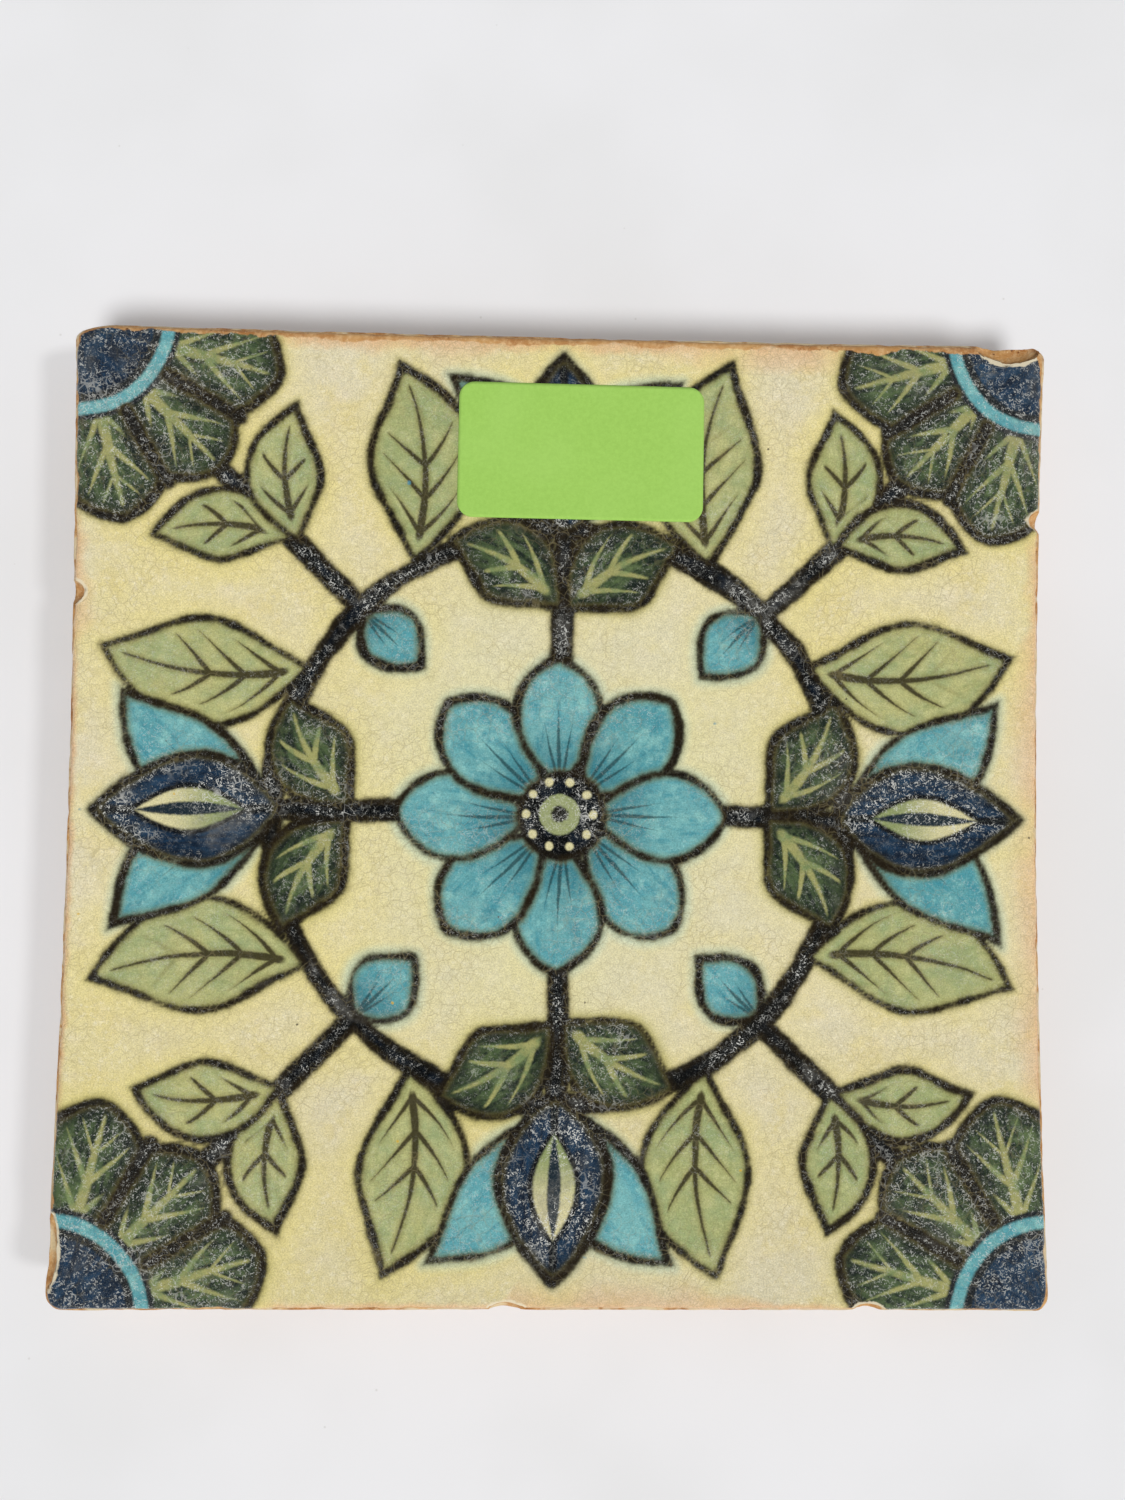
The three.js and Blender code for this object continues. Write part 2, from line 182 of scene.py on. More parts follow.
def nibbled(x, y, u, v, depth, reach, seed):
    """Draws the sides in unevenly, by up to about depth, fading out at reach from the edge."""

    def bite(along, seed):
        wave = 0.5 + 0.5 * rough_noise(along, 0 * along, 16, seed)
        ripple = 0.5 + 0.5 * rough_noise(along, 0 * along, 2.6, seed + 5)
        return depth * (0.45 * wave + 0.8 * ripple**3)

    def drawn_in(place, along, side, size, seed):
        bites = np.where(side > 0, bite(along, seed), bite(along, seed + 20))
        from_side = (1 - np.abs(side)) * size / 2
        return place - np.sign(side) * bites * np.clip(1 - from_side / reach, 0, 1) ** 2

    return drawn_in(x, y, u, WIDTH, seed), drawn_in(y, x, v, HEIGHT, seed + 40)


def chip_frames():
    """Each chip's centre on the slab's edge, its half sizes along X and Y, and its depth."""
    for side, along, length, reach, depth in CHIPS:
        upright = side in ("left", "right")
        edge = (WIDTH if upright else HEIGHT) / 2 * (1 if side in ("right", "top") else -1)
        centre, half = np.array([edge, along]), np.array([reach, length / 2])
        yield (centre, half, depth) if upright else (centre[::-1], half[::-1], depth)


def onto_scallop(points, centre, half, offset, ragged):
    """Moves points inside a chip out to its ragged edge. Returns them and the reach that each had."""
    reach = lengths(offset)
    pushed = centre + offset / np.maximum(reach, 1e-6)[:, None] * ragged[:, None] * half
    return np.where((reach < ragged)[:, None], pushed, points), reach


def strike_solid(points):
    """Pushes points inside a chip onto the scallop that it leaves."""
    for centre, half, depth in chip_frames():
        centre, half = np.array([*centre, FACE]), np.array([*half, depth])
        offset = (points - centre) / half
        offset[:, 2] = np.where(np.abs(offset).sum(1) < 1e-6, -1, offset[:, 2])
        ragged = 1 + 0.1 * rough_noise(points[:, 0] + points[:, 2], points[:, 1], 1.6, 90)
        points, _ = onto_scallop(points, centre, half, offset, ragged)
    return points


def strike_shell(points):
    """Pushes points of the glazed shell sideways, out of the chips.

    Returns them and how far each lies from a chip.
    """
    away = np.full(len(points), FAR)
    for centre, half, depth in chip_frames():
        level = np.clip((FACE - points[:, 2]) / depth, 0, 0.98)
        grown = half * np.sqrt(1 - level**2)[:, None] + 0.12
        offset = (points[:, :2] - centre) / grown
        ragged = 1 + 0.12 * rough_noise(points[:, 0], points[:, 1], 1.3, 95)
        points[:, :2], reach = onto_scallop(points[:, :2], centre, grown, offset, ragged)
        slope = lengths(offset / grown) / np.maximum(reach, 1e-6)
        gap = (reach - ragged) / np.maximum(slope, 1e-6)
        away = np.minimum(away, np.maximum(gap, 0))
    return points, away


# Meshes

def square(lines):
    """A net of points over a square, with the same lines both ways."""
    return (part.ravel() for part in np.meshgrid(lines, lines))


def grid_faces(columns, rows):
    """Faces of a grid whose vertices run along u first."""
    index = np.arange(columns * rows).reshape(rows, columns)
    corners = (index[:-1, :-1], index[:-1, 1:], index[1:, 1:], index[1:, :-1])
    return np.stack([c.ravel() for c in corners], axis=1)


def grid_border(columns, rows):
    """The border vertices of such a grid, anticlockwise from its first corner."""
    index = np.arange(columns * rows).reshape(rows, columns)
    return np.concatenate([index[0, :-1], index[:-1, -1], index[-1, :0:-1], index[:0:-1, 0]])


def band_faces(first, second):
    """Faces between two closed loops of vertices."""
    return np.stack([first, np.roll(first, -1), np.roll(second, -1), second], axis=1)


def add_object(name, data):
    made = bpy.data.objects.new(name, data)
    bpy.context.scene.collection.objects.link(made)
    return made


def make_mesh(name, points, faces, material, attributes=None, smooth=True):
    mesh = bpy.data.meshes.new(name)
    mesh.from_pydata(np.asarray(points) * MM, [], [list(map(int, face)) for face in faces])
    for key, values in (attributes or {}).items():
        layer = mesh.attributes.new(key, "FLOAT", "POINT")
        layer.data.foreach_set("value", np.ascontiguousarray(values, dtype=np.float32))
    mesh.materials.append(material)
    mesh.polygons.foreach_set("use_smooth", np.full(len(mesh.polygons), smooth))
    mesh.update()
    return add_object(name, mesh)


# Painted pattern: plan outlines

def polar(radius, degrees):
    angle = np.radians(degrees)
    return np.array([radius * np.cos(angle), radius * np.sin(angle)])


def turned(points, degrees):
    angle = np.radians(degrees)
    turn = np.array([[np.cos(angle), -np.sin(angle)], [np.sin(angle), np.cos(angle)]])
    return np.asarray(points) @ turn.T


def mirrored(points):
    return np.asarray(points) * (1, -1)


def signed_distance(points, outline):
    """Distance to a closed outline, negative inside it."""
    edge = np.roll(outline, -1, axis=0) - outline
    to_point = points[:, None, :] - outline
    share = np.clip((to_point * edge).sum(2) / (edge**2).sum(1), 0, 1)
    nearest = np.linalg.norm(to_point - share[..., None] * edge, axis=2).min(1)
    x, y = points[:, 0, None], points[:, 1, None]
    from_x, from_y = outline.T
    spans = (from_y > y) != (from_y + edge[:, 1] > y)
    height = np.where(edge[:, 1] == 0, 1, edge[:, 1])
    crosses = spans & (x < from_x + (y - from_y) * edge[:, 0] / height)
    return np.where(crosses.sum(1) % 2 == 1, -nearest, nearest)


def blade(base, tip, width, bend=0.0, fullness=1.0, belly=1.0, steps=40):
    """Outline and spine of a leaf or petal about a curved spine."""
    base, tip = np.asarray(base, float), np.asarray(tip, float)
    along = tip - base
    middle = (base + tip) / 2 + bend * np.array([-along[1], along[0]])
    t = (1 - np.cos(np.linspace(0, np.pi, steps + 1)))[:, None] / 2
    spine = (1 - t) ** 2 * base + 2 * t * (1 - t) * middle + t**2 * tip
    tangent = 2 * (1 - t) * (middle - base) + 2 * t * (tip - middle)
    tangent /= lengths(tangent)[:, None]
    normal = np.stack([-tangent[:, 1], tangent[:, 0]], axis=1)
    half = width / 2 * np.clip(np.sin(np.pi * t**belly), 0, 1) ** fullness
    right, left = spine - half * normal, spine + half * normal
    return np.concatenate([right[:-1], left[:0:-1]]), spine


def stroke(start, end, width):
    """Outline and spine of a straight stroke with round ends."""
    start, end = np.asarray(start, float), np.asarray(end, float)
    heading = np.degrees(np.arctan2(*(end - start)[::-1]))
    arc = np.linspace(-90, 90, 9)
    far = [end + polar(width / 2, heading + angle) for angle in arc]
    near = [start + polar(width / 2, heading + 180 + angle) for angle in arc]
    return np.array(far + near), np.linspace(start, end, 8)


def disc(centre, radius, sides=60):
    angles = np.linspace(0, 360, sides, endpoint=False)
    return np.array([np.asarray(centre) + polar(radius, angle) for angle in angles])


def motif(outlines, spine, colour=None, corner=None):
    """A painted shape, set down a little askew as a hand would."""
    centre = spine.mean(0)
    size = 1 + rng.normal(0, HAND["size"])
    shift = rng.normal(0, HAND["shift"], 2)
    lean = rng.normal(0, HAND["lean"])

    def askew(points):
        return turned(points - centre, lean) * size + centre + shift

    return {
        "outlines": [askew(outline) for outline in outlines],
        "spine": askew(spine),
        "colour": colour,
        "line": LINE * rng.uniform(*HAND["line"]),
        "dab": rng.uniform(0, DABS),
        "corner": corner,
    }


def placed(shape, turn, colour=None, flip=False):
    """A motif of one outline about its spine, flipped if asked and turned about the pattern's middle."""
    outline, spine = (turned(mirrored(part) if flip else part, turn) for part in shape)
    return motif([outline], spine, colour)


# Motifs

def rosette():
    root, petals = ROSETTE["root"], ROSETTE["petals"]
    shape = blade((root, 0), (root + ROSETTE["length"], 0), ROSETTE["width"], **ROUND_PETAL)
    eye = motif([disc((0, 0), ROSETTE["eye"])], np.array([(0, 0), (0.1, 0)]))
    return [eye, *(placed(shape, 360 * i / petals, "turquoise") for i in range(petals))]


def tulip(turn):
    root = np.array([RING_RADIUS - STEM_WIDTH / 2, 0])
    heart = blade(root, root + (TULIP["length"], 0), TULIP["heart"], fullness=0.85, belly=0.85)
    tip = root + polar(TULIP["petal"], TULIP["spread"])
    petal = blade(root, tip, TULIP["width"], TULIP["bend"])
    return [
        placed(heart, turn, "cobalt"),
        placed(petal, turn, "turquoise"),
        placed(petal, turn, "turquoise", flip=True),
    ]


def corner_palmette(turn):
    corner = np.array([PATTERN_HALF, PATTERN_HALF])
    pitch = 90 / PALMETTE["lobes"]

    def at(share, heading):
        return corner + polar(PALMETTE["root"] + share * PALMETTE["length"], 180 + heading)

    made = []
    for i in range(1, PALMETTE["lobes"]):
        start, end = (at(DIVIDER[part], pitch * i) for part in ("start", "end"))
        made.append(placed(stroke(start, end, DIVIDER["width"]), turn))
    outlines = [turned(disc(corner, PALMETTE["throat"]), turn)]
    for i in range(PALMETTE["lobes"]):
        heading = pitch * (i + 0.5)
        lobe, _ = blade(at(0, heading), at(1, heading), PALMETTE["width"], **ROUND_PETAL)
        outlines.append(turned(lobe, turn))
    spine = turned(np.linspace(corner, at(1, 45), 12), turn)
    return [*made, motif(outlines, spine, "green", turned(corner, turn))]


def leaf_pair(root, leaf, heading, turn, colour):
    shape = blade(root, root + polar(leaf["length"], heading), leaf["width"], leaf["bend"])
    return [placed(shape, turn, colour, flip) for flip in (False, True)]


def outer_leaves(turn):
    root = polar(RING_RADIUS, OUTER_LEAF["root"] - 45)
    large = leaf_pair(root, OUTER_LEAF, OUTER_LEAF["angle"] - 45, turn, "sage")
    palmette = PALMETTE["root"] + PALMETTE["length"]
    open_stem = PATTERN_HALF * np.sqrt(2) - palmette - RING_RADIUS
    node = np.array([RING_RADIUS + open_stem * SMALL_LEAF["share"], 0])
    return large + leaf_pair(node, SMALL_LEAF, -SMALL_LEAF["angle"], turn, "sage")


def inner_leaves(turn):
    edge = ROSETTE["root"] + ROSETTE["length"]
    root = np.array([edge + (RING_RADIUS - edge) * INNER_LEAF["share"], 0])
    return leaf_pair(root, INNER_LEAF, INNER_LEAF["angle"], turn, "green")


def bud(turn):
    tip = (RING_RADIUS - BUD["length"], 0)
    shape = blade((RING_RADIUS, 0), tip, BUD["width"], fullness=0.85, belly=0.9)
    return placed(shape, turn, "turquoise")


def stems():
    spoke = stroke((ROSETTE["eye"], 0), (RING_RADIUS, 0), STEM_WIDTH)
    reach = PATTERN_HALF * np.sqrt(2) - PALMETTE["root"]
    diagonal = stroke((RING_RADIUS, 0), (reach, 0), STEM_WIDTH)
    return [
        placed(shape, 90 * quarter + start)
        for quarter in range(4)
        for shape, start in ((spoke, 0), (diagonal, 45))
    ]


def pattern():
    """The motifs from the front to the back, each hiding what lies behind it."""
    made = rosette()
    for make, start in ((tulip, 0), (corner_palmette, 0), (outer_leaves, 45), (inner_leaves, 0)):
        for quarter in range(4):
            made += make(start + 90 * quarter)
    made += [bud(45 + 90 * quarter) for quarter in range(4)]
    return made + stems()


# Painted pattern: fields over the face

COLOURS = ("turquoise", "cobalt", "sage", "green")

# What is kept of the brush's run: along and across it, its share, that of a millimetre, and its dab
RUN = ("along", "across", "share", "rate", "dab")

# How far past a motif its fields are worked out
NEAR = 5.0

# Where a palmette's ribs start from its corner, and how far past its tips they would end
RIB = {"start": 12, "past_tip": 2.5}

# Where the ring round a palmette's heart lies, as a share of the throat
HEART = 0.72


def brush_run(points, shape):
    """How far each point lies along a motif's spine and across it.

    Also its share of the spine's length, and the share that a millimetre is.
    """
    spine = shape["spine"]
    if shape["corner"] is not None:
        arm = points - shape["corner"]
        along = lengths(arm)
        inwards = np.degrees(np.arctan2(*(-shape["corner"][::-1])))
        heading = (np.degrees(np.arctan2(arm[:, 1], arm[:, 0])) - inwards + 180) % 360 - 180
        pitch = 90 / PALMETTE["lobes"]
        from_rib = (heading + pitch / 2) % pitch - pitch / 2
        rib = PALMETTE["root"] + PALMETTE["length"] - RIB["start"] + RIB["past_tip"]
        share = (along - RIB["start"]) / rib
        return along, along * np.sin(np.radians(from_rib)), share, 1 / rib
    run = np.append(0, np.cumsum(lengths(np.diff(spine, axis=0))))
    nearest = np.linalg.norm(points[:, None, :] - spine, axis=2).argmin(1)
    heading = np.gradient(spine, axis=0)
    heading /= lengths(heading)[:, None]
    offset = points - spine[nearest]
    along = run[nearest] + (heading[nearest] * offset).sum(1)
    across = heading[nearest, 0] * offset[:, 1] - heading[nearest, 1] * offset[:, 0]
    return along, across, along / run[-1], 1 / run[-1]


def paint(x, y):
    """Distances to each colour's areas and to the dark lines, and the run of the brush."""
    points = np.stack([x, y], axis=1)
    for axis, seed in enumerate((200, 220)):
        points[:, axis] += 0.42 * rough_noise(x, y, 19, seed) + 0.1 * rough_noise(x, y, 4, seed + 10)
    pressure = 1 + 0.3 * rough_noise(x, y, 9, 240)
    fields = {name: np.full(len(x), FAR) for name in (*COLOURS, "ink", "throat")}
    fields |= {name: np.zeros(len(x)) for name in RUN}

    ink = fields["ink"]
    ring = np.abs(np.hypot(*points.T) - RING_RADIUS) - STEM_WIDTH / 2 * pressure
    ink[:] = np.minimum(ink, ring)

    for shape in reversed(pattern()):
        corners = np.concatenate(shape["outlines"])
        low, high = corners.min(0) - NEAR, corners.max(0) + NEAR
        near = np.flatnonzero(((points > low) & (points < high)).all(1))
        here = points[near]
        distance = np.min([signed_distance(here, outline) for outline in shape["outlines"]], axis=0)
        for name in COLOURS:
            fields[name][near] = np.maximum(fields[name][near], -distance)
        if shape["colour"] is None:
            ink[near] = np.minimum(ink[near], distance)
            continue
        line = shape["line"] * pressure[near]
        behind = np.maximum(ink[near], -(distance + line))
        ink[near] = np.minimum(behind, np.abs(distance + line / 2) - line / 2)
        area = fields[shape["colour"]]
        area[near] = np.minimum(area[near], distance + line)
        inside = distance < 0
        run = dict(zip(RUN, (*brush_run(here, shape), shape["dab"])))
        cornered = shape["corner"] is not None
        run["throat"] = run["along"] - PALMETTE["throat"] * HEART if cornered else FAR
        for name, values in run.items():
            fields[name][near] = np.where(inside, values, fields[name][near])
    return fields


# Materials

# The pale flame in a tulip's heart: shares of its length, and the halves of the flame and its core
FLAME = {"start": 0.2, "length": 0.56, "half": 3.3, "core": 1.05}

# The ring of dots in the rosette's eye
EYE = {"dots": 10, "ring": 5.1}

# How much a side vein curls towards the tip
VEIN_CURL = 0.045

# Angle, length and width of each kind of scuff with its painted glint, and how far across a spot is
# before it is drawn out
FLECKS = ((15, 0.62, 0.12), (78, 0.45, 0.11), (140, 0.7, 0.12), (50, 0.2, 0.16))
SPOT_ACROSS = 0.34

# How far apart stray specks are, their radius as a share of that, and their colour
SPECKS = ((8.3, 0.03, "#2c2722"), (11.7, 0.026, "#d3ab35"), (14.9, 0.03, "#4f8fa3"))


def rgb(text):
    """A linear colour from an sRGB hex string."""
    parts = [int(text[i : i + 2], 16) / 255 for i in (1, 3, 5)]
    linear = [c / 12.92 if c <= 0.04045 else ((c + 0.055) / 1.055) ** 2.4 for c in parts]
    return (*linear, 1.0)


class Nodes:
    """Short names for the shader nodes of one material or world."""

    def __init__(self, name, kind="materials"):
        self.made = getattr(bpy.data, kind).new(name)
        self.made.use_nodes = True
        self.tree = self.made.node_tree

    def put(self, socket, value):
        if isinstance(value, bpy.types.NodeSocket):
            self.tree.links.new(value, socket)
        elif isinstance(value, str):
            socket.default_value = rgb(value)
        elif value is not None:
            socket.default_value = value

    def add(self, kind, *values, **settings):
        """A node with some settings, and with values or links in its first sockets."""
        node = self.tree.nodes.new("ShaderNode" + kind)
        for key, value in settings.items():
            setattr(node, key, value)
        for socket, value in zip(node.inputs, values):
            self.put(socket, value)
        return node

    def attribute(self, name):
        return self.add("Attribute", attribute_name=name).outputs["Fac"]

    def math(self, operation, *values):
        return self.add("Math", *values, operation=operation).outputs[0]

    def linear(self, value, slope, start):
        return self.math("MULTIPLY_ADD", value, slope, start)

    def chained(self, operation, first, *others):
        for other in others:
            first = self.math(operation, first, other)
        return first

    def plus(self, *values):
        return self.chained("ADD", *values)

    def times(self, *values):
        return self.chained("MULTIPLY", *values)

    def most(self, *values):
        return self.chained("MAXIMUM", *values)

    def least(self, *values):
        return self.chained("MINIMUM", *values)

    def length(self, x, y):
        return self.math("SQRT", self.plus(self.times(x, x), self.times(y, y)))

    def vector_math(self, operation, *values):
        return self.add("VectorMath", *values, operation=operation).outputs[0]

    def scaled(self, vector, by):
        return self.vector_math("SCALE", vector, None, None, by)

    def millimetres(self):
        """Object coordinates in millimetres."""
        return self.scaled(self.add("TexCoord").outputs["Object"], 1 / MM)

    def parts(self, place):
        return self.add("SeparateXYZ", place).outputs

    def noise(self, place, size, detail=2.0, roughness=0.5, output="Fac"):
        """Noise from about 0 to 1, with features about size across."""
        return self.add("TexNoise", place, None, 1 / size, detail, roughness).outputs[output]

    def cells(self, place, size, **settings):
        return self.add("TexVoronoi", place, None, 1 / size, **settings).outputs["Distance"]

    def strokes(self, place, angle, length, width):
        """Scattered short strokes, about a twelfth of the surface."""
        turn = (0, 0, np.radians(angle))
        size = (length / SPOT_ACROSS, width / SPOT_ACROSS, 1)
        drawn_out = self.add("Mapping", place, None, turn, size, vector_type="TEXTURE")
        spots = self.cells(drawn_out.outputs[0], 1, voronoi_dimensions="2D")
        return self.fade(spots, 0.1, 0.21, 1, 0)

    def warped(self, place, size, amount):
        """A place moved about by noise."""
        shift = self.vector_math("SUBTRACT", self.noise(place, size, output="Color"), (0.5, 0.5, 0.5))
        return self.vector_math("MULTIPLY_ADD", shift, (amount, amount, amount), place)

    def fade(self, value, low, high, to_low=0.0, to_high=1.0):
        """Eases from to_low to to_high as value goes from low to high."""
        parts = (value, low, high, to_low, to_high)
        return self.add("MapRange", *parts, interpolation_type="SMOOTHSTEP").outputs[0]

    def mix(self, share, under, over):
        node = self.add("Mix", share, data_type="RGBA")
        self.put(node.inputs[6], under)
        self.put(node.inputs[7], over)
        return node.outputs[2]

    def layered(self, tone, *layers):
        """Mixes colours over a tone. A layer is a share, or what fade makes it from, and a colour."""
        for *share, over in layers:
            tone = self.mix(self.fade(*share) if share[1:] else share[0], tone, over)
        return tone

    def bump(self, height, distance, strength=1.0, after=None):
        node = self.add("Bump", strength, distance)
        self.put(node.inputs["Height"], height)
        self.put(node.inputs["Normal"], after)
        return node.outputs[0]

    def finish(self, **inputs):
        shader = self.tree.nodes["Principled BSDF"]
        for name, value in inputs.items():
            self.put(shader.inputs[name.replace("_", " ")], value)
        return self.made


def clay_tone(n, place):
    """Coarse pinkish-orange clay with pale grit and dark iron specks."""
    return n.layered(
        "#ab7340",
        (n.noise(place, 7, 4), 0.32, 0.64, "#c6965c"),
        (n.noise(place, 0.9, 4, 0.7), 0.38, 0.75, "#d8b17f"),
        (n.cells(place, 0.55), 0.12, 0.26, 0.45, 0, "#e6c79c"),
        (n.cells(n.warped(place, 2, 1), 1.5), 0.08, 0.15, 0.8, 0, "#63381f"),
    )


def clay_material():
    """Bare clay with dust, slip spilt down its sides, and a rubbed rim where the glaze stops."""
    n = Nodes("bare clay")
    place = n.millimetres()
    clay = clay_tone(n, place)
    level = n.parts(place)[2]
    spill = n.plus(level, n.fade(n.noise(place, 9, 3), 0.25, 0.8, -4.0, 1.4))
    rub = n.fade(n.noise(place, 1.3, 3, 0.6), 0.4, 0.65, 0, 0.6)
    slip = n.fade(n.noise(place, 4.5, 3, 0.65), 0.46, 0.56, 0, 0.75)
    slip = n.times(slip, n.fade(n.attribute("struck"), 0, 1, 1, 0))
    rim = (level, FACE - 1.5, FACE - 1.0, 0)
    tone = n.layered(
        clay,
        (n.noise(place, 3.4, 5, 0.7), 0.5, 0.72, 0, 0.35, "#e2cdae"),
        (spill, 11.6, 12.2, 0, 0.7, "#ddcda6"),
        (*rim, 0.75, clay),
        (*rim, rub, "#8f5f36"),
        (*rim, slip, "#d8caa8"),
    )
    pits = n.fade(n.cells(place, 0.9), 0.0, 0.3, 0, 0.5)
    height = n.plus(n.noise(place, 0.5, 4, 0.7), pits)
    return n.finish(
        Base_Color=tone,
        Roughness=n.fade(n.noise(place, 2), 0.3, 0.7, 0.82, 0.97),
        Specular_IOR_Level=0.25,
        Normal=n.bump(height, 0.00016, 0.9),
    )


class Glaze(Nodes):
    """The painted face's shader nodes: slip, colours, dark lines, glaze, and wear with painted glints
    and sheen, from the bottom up.
    """

    def __init__(self):
        super().__init__("painted glaze")
        self.place = self.millimetres()
        self.broad = self.patches(28, 3)
        self.blotch = self.patches(6.5, 4, 0.6)
        self.cloud = self.patches(2.6, 4, 0.6)
        self.grain = self.patches(0.75, 4, 0.7)
        self.fine = self.patches(0.3, 2, 0.6)
        self.bleed = self.linear(self.patches(0.5, 3, 0.65), 0.42, -0.21)
        x, self.up, _ = self.parts(self.warped(self.place, 30, 30))
        self.out = self.length(x, self.up)
        self.along, across, self.share, self.rate, dab = (self.attribute(name) for name in RUN)
        self.side = self.math("ABSOLUTE", across)
        self.whim = self.times(dab, 1 / DABS)
        run = self.add("CombineXYZ", self.times(self.along, 0.24), across, dab)
        self.brush = self.noise(run.outputs[0], 1.0, 3, 0.6)
        self.depth = {name: self.attribute(name) for name in (*COLOURS, "ink", "throat")}

    def patches(self, size, *kind):
        return self.noise(self.place, size, *kind)

    def laid(self, under, name, tone, soft=0.25, spread=0.35, share=1.0):
        """Lays a colour over another, inside its areas."""
        distance = self.plus(self.depth[name], self.bleed)
        return self.layered(under, (distance, spread - soft, spread + soft, share, 0, tone))

    def ground(self):
        """Cream slip that the clay glows through at the edges, and the colours that ran out on it."""
        glow = self.plus(self.attribute("glow"), self.fade(self.cloud, 0.3, 0.7, -0.4, 0.5))
        thin = self.linear(self.parts(self.place)[0], 0.001, self.patches(22, 2))
        thin = self.times(glow, self.fade(thin, 0.46, 0.6, 1, 0.28))
        near = self.plus(self.depth["ink"], self.fade(self.blotch, 0.3, 0.7, -1.2, 1.2))
        rich = self.fade(self.broad, 0.4, 0.62, 0.65, 0.35)
        tone = self.layered(
            "#e2d69f",
            (self.broad, 0.38, 0.62, "#ded5b3"),
            (self.blotch, 0.45, 0.68, 0, 0.6, "#e0d08c"),
            (self.cloud, 0.45, 0.75, 0, 0.35, "#eaddc0"),
            (self.grain, 0.5, 0.72, 0, 0.6, "#f4ecd0"),
            (self.fine, 0.5, 0.72, 0, 0.4, "#c9b984"),
            (glow, 0.25, 2.3, 0.6, 0, "#dcae80"),
            (thin, 0.4, 2.8, 0.55, 0, "#e0b588"),
            (near, 0.3, 5.0, rich, 0, "#e3d58c"),
            (self.out, 14, 52, 0.6, 0, "#dcd9b2"),
        )
        tone = self.scaled(tone, self.fade(self.up, -75, -15, 0.91, 0.995))
        for name, over, soft, past_line, share in (
            ("turquoise", "#b9d6c6", 1.2, 0.2, 0.65),
            ("cobalt", "#b4c4b2", 1.1, 0, 0.55),
            ("sage", "#cfc783", 1.0, 0, 0.55),
            ("green", "#b9b268", 1.3, 0.1, 0.7),
        ):
            tone = self.laid(tone, name, over, soft, LINE + past_line, share)
        return tone

    def ribs(self, pitch, lean, thick, end):
        """Distance to a leaf's midrib and side veins, negative on them."""
        midrib = self.math("SUBTRACT", self.side, self.fade(self.share, 0.1, 1.0, thick * 1.5, 0.1))
        lag = self.times(self.side, self.linear(self.side, -VEIN_CURL, -lean))
        root = self.linear(lag, self.rate, self.share)
        beat = self.math("PINGPONG", self.times(self.plus(self.along, lag), 1 / pitch), 0.5)
        taper = self.fade(self.side, 0.5, 6.5, -thick, 0)
        vein = self.linear(beat, pitch * 0.74, taper)
        vein = self.plus(vein, self.fade(root, end - 0.04, end), self.fade(root, 0.02, 0.06, 1, 0))
        return self.least(midrib, vein)

    def sage(self):
        veins = self.plus(self.ribs(5.2, 1.0, 0.42, 0.62), self.times(self.bleed, 0.8))
        inner = self.fade(self.depth["sage"], -1.6, -0.9, 1, 0)
        return self.layered(
            "#b9b77a",
            (self.blotch, 0.36, 0.64, "#9daa78"),
            (self.times(self.whim, 0.5), "#8fa06c"),
            (self.cloud, 0.42, 0.7, 0, 0.6, "#c2c289"),
            (self.brush, 0.5, 0.75, 0, 0.5, "#8e9a60"),
            (self.grain, 0.5, 0.72, 0, 0.4, "#d0cf98"),
            (self.fine, 0.5, 0.72, 0, 0.35, "#8b8d58"),
            (self.depth["sage"], -1.6, 0, 0, 0.2, "#8f9055"),
            (veins, 0, 0.8, self.times(inner, 0.45), 0, "#7d7440"),
            (veins, -0.2, 0.2, self.times(inner, 0.9), 0, "#2e2616"),
        )

    def green(self):
        veins = self.plus(self.ribs(5.0, 1.3, 0.6, 0.56), self.times(self.bleed, 1.2))
        inner = self.fade(self.depth["green"], -1.6, -0.7, 0.9, 0)
        rib_tone = self.mix(self.fade(self.cloud, 0.4, 0.7), "#a6a468", "#7c8d5c")
        throat = self.plus(self.depth["throat"], self.bleed)
        return self.layered(
            "#1f2a22",
            (self.brush, 0.36, 0.66, "#4c5e3c"),
            (self.blotch, 0.5, 0.68, 0, 0.8, "#141c18"),
            (self.cloud, 0.52, 0.72, 0, 0.7, "#66784d"),
            (self.grain, 0.5, 0.72, 0, 0.4, "#74835c"),
            (self.depth["green"], -3.2, 0, 0, 0.75, "#151b19"),
            (veins, -0.3, 0.25, inner, 0, rib_tone),
            (throat, 2.9, 3.5, 1, 0, "#1d2124"),
            (throat, 2.0, 2.6, 1, 0, self.turquoise_wash()),
            (throat, 0.1, 0.7, 1, 0, "#1d2124"),
            (throat, -1.2, -0.6, 1, 0, self.cobalt_wash()),
        )

    def turquoise_wash(self):
        return self.layered(
            "#7ab5b5",
            (self.blotch, 0.4, 0.62, "#62a6ae"),
            (self.times(self.whim, 0.6), "#3a8a94"),
            (self.brush, 0.46, 0.72, 0, 0.75, "#3d8b99"),
            (self.cloud, 0.48, 0.7, 0, 0.7, "#93cac3"),
            (self.fine, 0.5, 0.72, 0, 0.35, "#2f7783"),
            (self.grain, 0.52, 0.75, 0, 0.45, "#a9d6cf"),
        )

    def turquoise(self):
        """The wash, darker at the root of a petal, with three fine strokes that fan out from it."""
        spread = self.math("ABSOLUTE", self.linear(self.along, -0.2, self.side))
        middle = self.math("SUBTRACT", self.side, self.fade(self.share, 0.3, 0.75, 0.3, -0.1))
        outer = self.math("SUBTRACT", spread, self.fade(self.share, 0.22, 0.6, 0.24, -0.1))
        strokes = self.plus(self.least(middle, outer), self.times(self.bleed, 0.8))
        return self.layered(
            self.turquoise_wash(),
            (self.share, 0.1, 0.6, 0.8, 0, "#2c6e7b"),
            (self.depth["turquoise"], -1.1, 0, 0, 0.5, "#4a8a84"),
            (strokes, -0.16, 0.16, 0.8, 0, "#1f4247"),
        )

